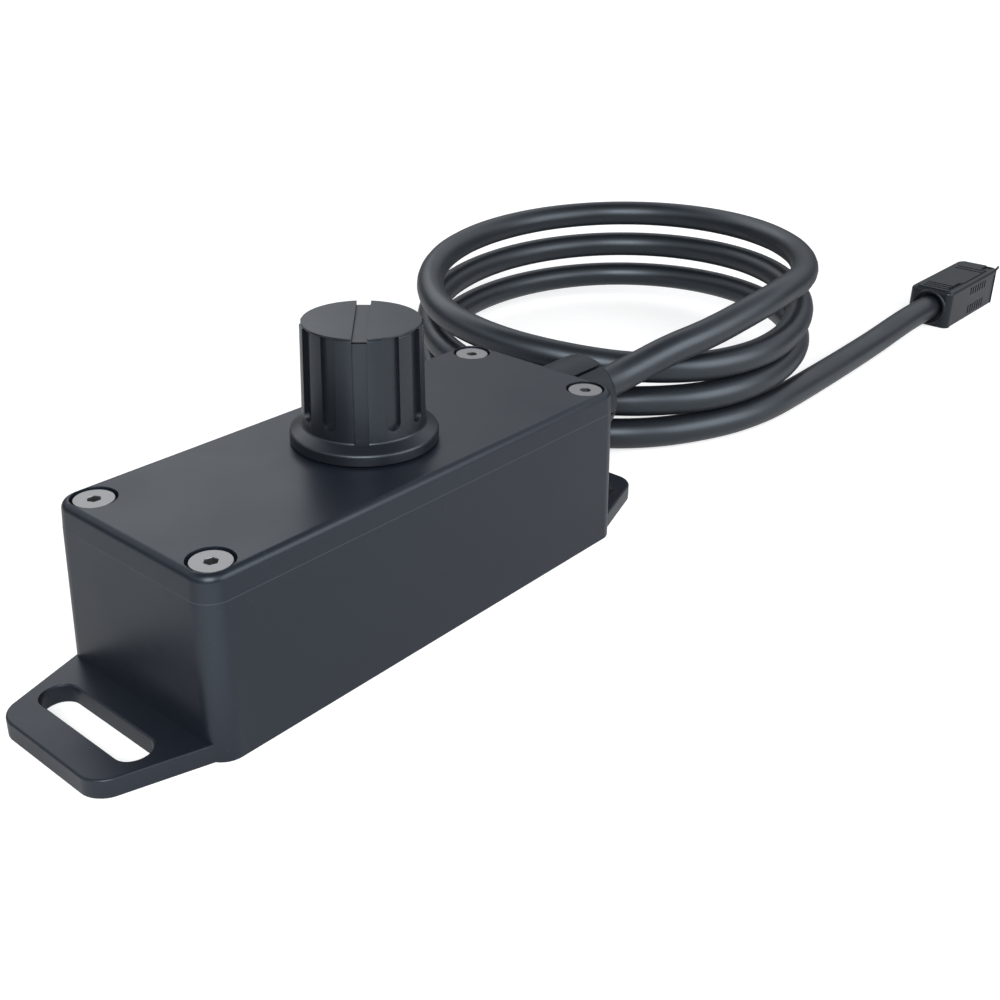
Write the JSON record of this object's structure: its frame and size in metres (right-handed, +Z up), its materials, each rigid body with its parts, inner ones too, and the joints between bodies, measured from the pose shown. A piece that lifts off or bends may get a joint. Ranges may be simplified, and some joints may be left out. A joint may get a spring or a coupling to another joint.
{
  "type": "dimmer module",
  "caption": "Screwed plastic case with mounting feet, a fluted rotary knob on top, a slit cable collar and a coiled cable that ends in a flat plug.",
  "frame": {"origin": "middle of the case's underside", "axes": "+X along the case towards the cable, +Z up out of the lid along the knob's axis"},
  "size_m": [0.4028, 0.1383, 0.0657],
  "materials": {
    "case_plastic": "fine satin grain, dark anthracite",
    "knob_plastic": "satin, dark slate grey",
    "gland_plastic": "satin, dark anthracite",
    "plug_plastic": "satin, dark grey",
    "cable_sheath": "smooth satin, near black",
    "seal_rubber": "matte, black",
    "screw_steel": "matte, light grey",
    "steel": "satin plated",
    "brass": "machined",
    "phenolic": "matte, brown laminate",
    "board": "satin, green laminate",
    "inner_plastic": "matte, green moulding",
    "white_plastic": "matte, off-white moulding",
    "capacitor_film": "glossy, yellow",
    "capacitor_sleeve": "glossy, dark blue",
    "copper_winding": "lacquered wire",
    "chip_black": "matte, black",
    "aluminium": "bare sheet",
    "resistor_body": "matte, beige",
    "core_sheath": "smooth wire sheath"
  },
  "bodies": {
    "case": {"base_housing": "case_plastic", "lid": "case_plastic", "lid_gasket": "seal_rubber", "lid_screws": "screw_steel", "pot_bushing": "brass", "pot_nut": "steel", "pot_washer": "steel", "panel_seal": "seal_rubber", "pot_can": "steel", "pot_wafer": "phenolic", "pot_terminals": "brass", "pot_leads": "core_sheath", "pot_header": "white_plastic", "circuit_board": "board", "board_screws": "steel", "control_chip": "chip_black", "resistors": "resistor_body", "bulk_capacitor": "capacitor_sleeve", "mains_capacitor": "capacitor_film", "choke": "copper_winding", "fuse": "chip_black", "power_transistor": "chip_black", "heat_spreader": "aluminium", "transistor_screw": "steel", "transistor_nut": "steel", "terminal_block": "inner_plastic", "terminal_screws": "steel", "core_wires": "core_sheath", "gland_collar": "gland_plastic", "gland_washer": "seal_rubber", "gland_seal": "seal_rubber", "gland_locknut": "gland_plastic", "cable_lead": "cable_sheath", "cable_coil": "cable_sheath", "cable_tail": "cable_sheath", "plug_housing": "plug_plastic", "plug_cover": "plug_plastic", "plug_seal": "seal_rubber", "plug_contacts": "brass"},
    "knob": {"knob_body": "knob_plastic", "knob_insert": "brass", "pot_shaft": "steel", "pot_rotor": "inner_plastic"}
  },
  "joints": [
    {"name": "knob_turn", "type": "hinge", "parent": "case", "child": "knob", "pos_m": [0, 0, 0.0393], "axis": [0, 0, -1], "range_deg": [0, 270]}
  ]
}
